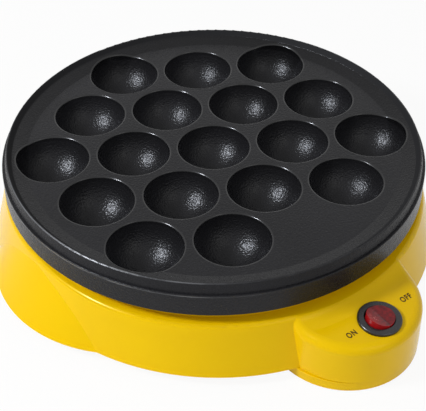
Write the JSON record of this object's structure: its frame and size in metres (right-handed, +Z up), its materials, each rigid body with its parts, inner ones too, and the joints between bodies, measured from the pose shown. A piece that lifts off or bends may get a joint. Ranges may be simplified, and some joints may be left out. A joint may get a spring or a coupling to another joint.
{
  "type": "takoyaki maker",
  "caption": "Round electric takoyaki maker: dark cast plate with half-round wells in a hexagon on a glossy yellow moulded base with side lobes and a front console with a round rocker switch.",
  "frame": {"origin": "on the table, under the middle of the whole object's box", "axes": "+Z up; the control console points to -Y and the cord entry to +Y; the side lobes lie along X"},
  "size_m": [0.2692, 0.2874, 0.0619],
  "materials": {
    "coated_plate": "dark non-stick coating with fine grain over cast metal, half gloss",
    "yellow_shell": "glossy moulded plastic",
    "switch_black": "polished black plastic",
    "red_lens": "deep red translucent plastic, glossy",
    "foot_rubber": "matt rubber",
    "heater_steel": "heat-tinted steel tube",
    "nickel": "plain nickel",
    "ceramic": "unglazed white ceramic",
    "spring_steel": "rolled strip",
    "screw_steel": "bright zinc",
    "fuse_case": "bare case",
    "phenolic": "black phenolic",
    "pan_steel": "aluminised sheet",
    "spacer_steel": "turned steel",
    "brass_tab": "plain brass",
    "black_gland": "moulded nylon",
    "block_plastic": "natural nylon",
    "lamp_glass": "clear glass"
  },
  "bodies": {
    "base": {"baking_plate": "coated_plate", "heating_element": "heater_steel", "heater_terminals": "nickel", "insulating_bushes": "ceramic", "heater_clips": "spring_steel", "fuse_clip": "spring_steel", "clip_screws": "screw_steel", "thermal_fuse": "fuse_case", "thermostat": "phenolic", "thermostat_screws": "screw_steel", "reflector_pan": "pan_steel", "plate_spacers": "spacer_steel", "plate_washers": "screw_steel", "plate_screws": "screw_steel", "earth_tab": "brass_tab", "earth_screw": "screw_steel", "earth_nut": "screw_steel", "base_housing": "yellow_shell", "bottom_cover": "yellow_shell", "rubber_feet": "foot_rubber", "bottom_screws": "screw_steel", "cord_gland": "black_gland", "terminal_block": "block_plastic", "terminal_screws": "screw_steel", "switch_body": "switch_black", "switch_lamp": "lamp_glass", "switch_blades": "brass_tab"},
    "rocker": {"switch_rocker": "red_lens"},
    "contact": {"contact_lever": "brass_tab"}
  },
  "joints": [
    {"name": "rocker_tilt", "type": "hinge", "parent": "base", "child": "rocker", "pos_m": [0, -0.12765, 0.0315], "axis": [0, 0.9986, 0.0523], "range_deg": [-18, 0]},
    {"name": "contact_tilt", "type": "hinge", "parent": "base", "child": "contact", "pos_m": [0, -0.12728, 0.02451], "axis": [0, 0.9986, 0.0523], "range_deg": [0, 15]}
  ],
  "couplings": [
    {"joint": "contact_tilt", "follows": "rocker_tilt", "ratio": -0.6666}
  ]
}
